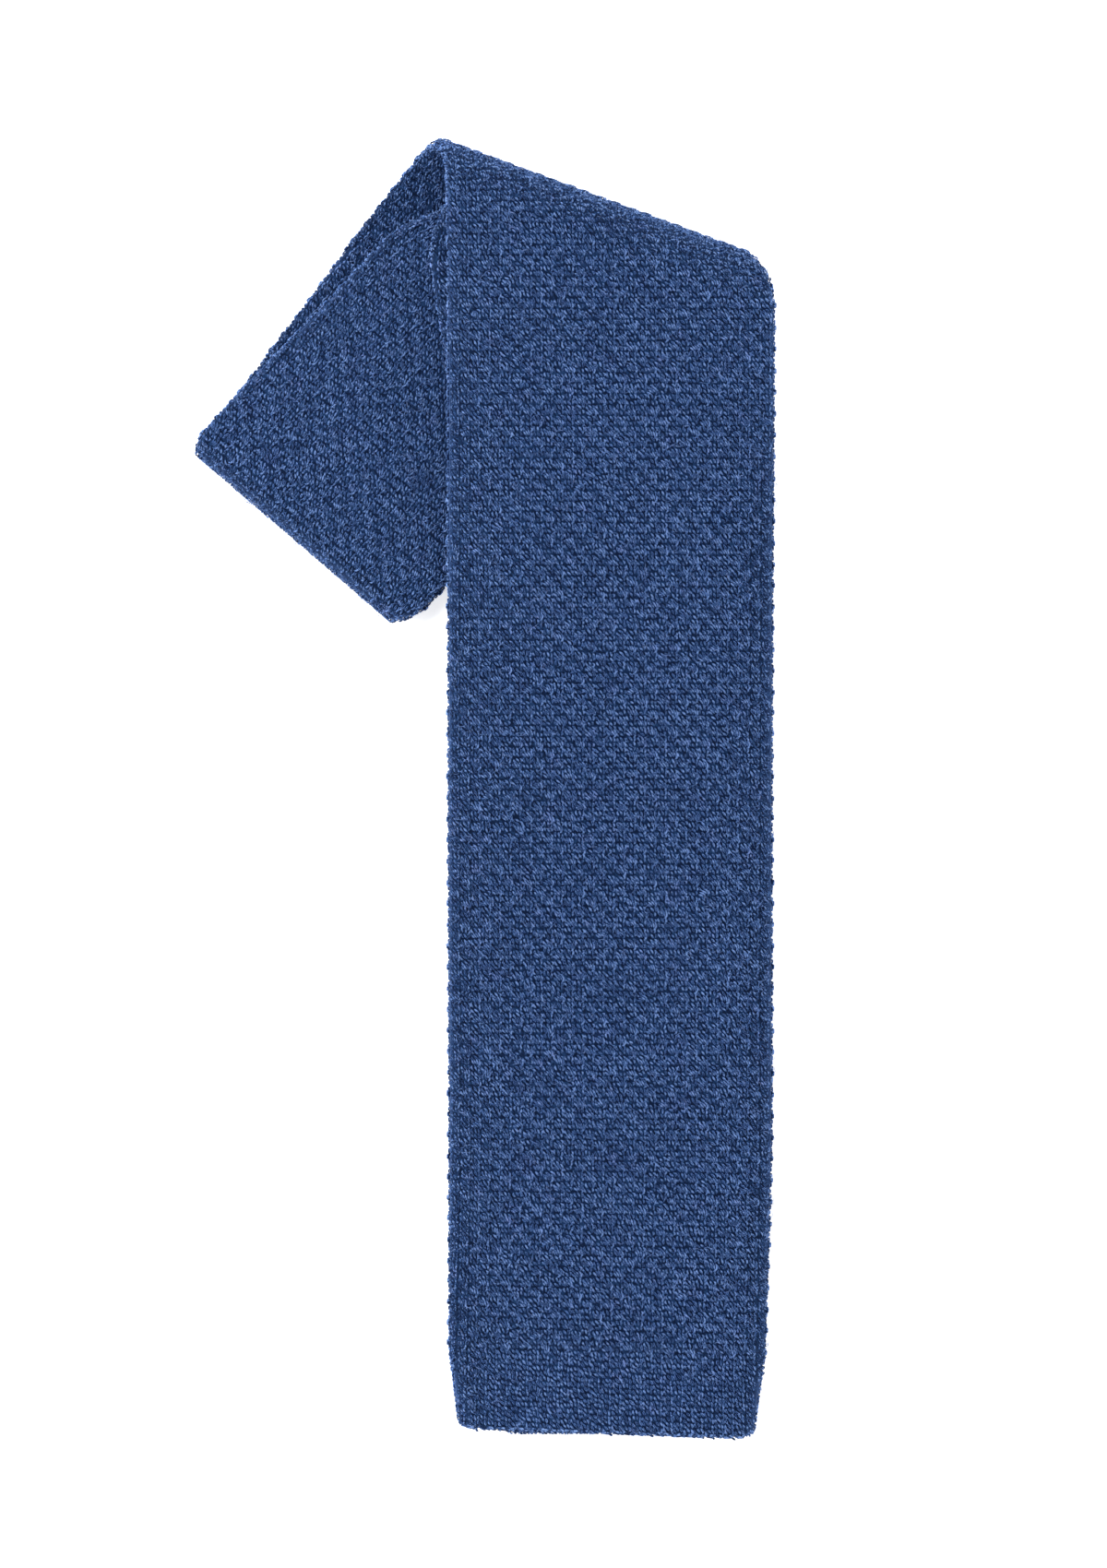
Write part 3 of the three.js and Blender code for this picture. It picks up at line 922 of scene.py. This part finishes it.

# Colours of the wool's wall, its yarn and its loose fibres, from the deepest to the lightest. The
# wall's blues are much darker than the yarn's, as painted shade in the gaps between the stitches.
SHADED_WALL_BLUES = [(0.0, (0.001, 0.006, 0.024)), (0.6, (0.004, 0.015, 0.052)), (1.0, (0.010, 0.032, 0.092))]
BLUES = [(0.0, (0.001, 0.006, 0.029)), (0.42, (0.005, 0.024, 0.091)), (0.75, (0.033, 0.082, 0.218)),
         (1.0, (0.145, 0.236, 0.465))]
PALE = [(0.0, (0.045, 0.085, 0.200)), (0.5, (0.100, 0.165, 0.350)), (1.0, (0.200, 0.270, 0.480))]
yarn_material = wool("wool_yarn", BLUES, yarn=True, bump=0.4)
# The wall's material carries the painted shade that shows between the stitches
cloth_material = wool("wool_cloth", SHADED_WALL_BLUES, yarn=False, bump=0.6)
fuzz_material = wool("wool_fuzz", PALE, yarn=False, bump=0.0)

# Each solid's fabric: its name, where it starts and ends along the tie, and its finish
FROM_FOLD = 25 * MM
BLADE_END = PLACES[2][1] + FROM_FOLD
NECK_END = PLACES[4][0] - FROM_FOLD
fabrics = {
    "blade_hem": ("hem_fabric", 0, BLADE_HEM, "hem_knit"),
    "blade": ("blade_fabric", BLADE_HEM, BLADE_END, "tuck_knit"),
    "neckband": ("neck_fabric", BLADE_END + GAP, NECK_END, "tuck_knit"),
    "tail": ("tail_fabric", NECK_END + GAP, TIE_LENGTH - TAIL_HEM, "tuck_knit"),
    "tail_hem": ("tail_hem_fabric", TIE_LENGTH - TAIL_HEM, TIE_LENGTH, "hem_knit"),
}
cloths = {}
for node, (name, start, end, slot_name) in fabrics.items():
    cloths[node] = make_fabric(name, start, end, cloth_material)
hidden_by = fabric_tree(cloths.values())

stitches = [make_strands("stitch_" + name, legs, LEG_SIDES) for name, legs in STITCHES.items()]
fibres = [make_strands("fibre_" + name, legs, FIBRE_SIDES) for name, legs in FIBRES.items()]
knit_tree, knit_sockets = stitch_tree("knit_stitches", stitches, yarn_material)
fuzz_tree, fuzz_sockets = stitch_tree("loose_fibres", fibres, fuzz_material)


def bare_stitches(name, start, end, seed, plain=False):
    """The stitches that show between two measures along the tie, as one piece."""
    along, q, kind = stitch_places(start, end, plain)
    frames = surface_frames(along, q)
    bare = shows(hidden_by, frames)
    frames = [part[bare] for part in frames]
    kind = np.where(frames[3][:, 2] < UNDERSIDE, list(STITCHES).index("under"), kind[bare])
    return knit_piece(name, frames, kind, knit_tree, knit_sockets, seed, SIZE_SPREAD, False)


def bare_fibres(name, start, end, seed):
    """The loose fibres that show between two measures along the tie, as one piece."""
    along, q, kind = fibre_places(start, end, seed)
    frames = surface_frames(along, q)
    bare = shows(hidden_by, frames)
    frames = [part[bare] for part in frames]
    return knit_piece(name, frames, kind[bare], fuzz_tree, fuzz_sockets, seed, FIBRE_SPREAD, True)


# Where the knit of the blade and of the neckband is divided into pieces
SPLITS = [BLADE_HEM, 75 * MM, 130 * MM, 190 * MM, PLACES[0][1], PLACES[1][1], BLADE_END]
NECK_SPLITS = [BLADE_END, PLACES[3][0], NECK_END]
knit = {
    "blade_hem": [bare_stitches("hem_stitches", 0, BLADE_HEM, seed=1, plain=True)],
    "blade": [
        bare_stitches("blade_stitches_" + str(i + 1), a, b, seed=i + 2)
        for i, (a, b) in enumerate(zip(SPLITS, SPLITS[1:]))
    ],
    "neckband": [
        bare_stitches("neck_stitches_" + str(i + 1), a, b, seed=i + 10)
        for i, (a, b) in enumerate(zip(NECK_SPLITS, NECK_SPLITS[1:]))
    ],
    "tail": [bare_stitches("tail_stitches", NECK_END, TIE_LENGTH - TAIL_HEM, seed=20)],
    "tail_hem": [
        bare_stitches("tail_hem_stitches", TIE_LENGTH - TAIL_HEM, TIE_LENGTH, seed=21, plain=True)
    ],
}
knit["blade"].append(bare_fibres("blade_fuzz", 0, PLACES[0][0], seed=30))
knit["blade"].append(bare_fibres("flap_fuzz", PLACES[0][0], PLACES[2][0], seed=31))

for node, (name, start, end, slot_name) in fabrics.items():
    cloth = cloths[node]
    pieces = knit[node]
    for piece in [cloth, *pieces]:
        to_frame(piece)
        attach(piece, "root")
    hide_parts(node)

for source in stitches + fibres:
    bpy.data.objects.remove(source)
